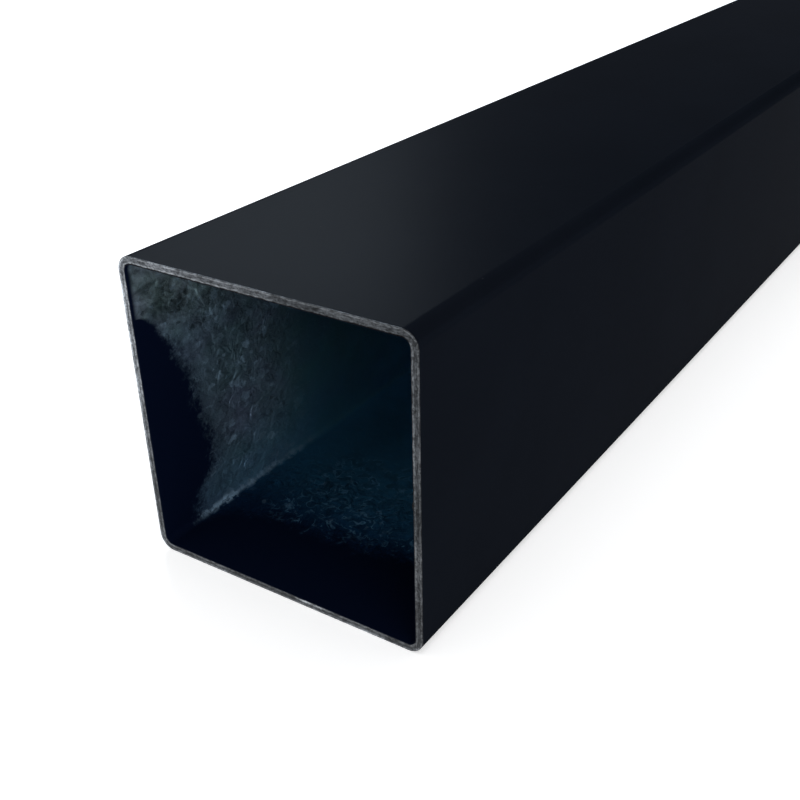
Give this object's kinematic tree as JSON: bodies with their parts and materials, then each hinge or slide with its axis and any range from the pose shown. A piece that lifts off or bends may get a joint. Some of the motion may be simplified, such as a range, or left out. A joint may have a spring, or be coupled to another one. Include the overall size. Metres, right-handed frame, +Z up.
{
  "type": "square tube",
  "caption": "Length of square steel hollow section with rounded corners, open sawn ends, black painted outside and bare inside.",
  "frame": {"origin": "on the plane that the tube rests on, under the middle of its length", "axes": "+Y along the tube from its front end to its back end, +X across it to the right, +Z up through the top flat"},
  "size_m": [0.08, 1, 0.08],
  "materials": {
    "black_paint": "smooth satin black paint on steel outside, bare sawn steel on the end rims, mottled bare metal inside"
  },
  "bodies": {
    "root": {"square_tube": "black_paint"}
  },
  "joints": []
}
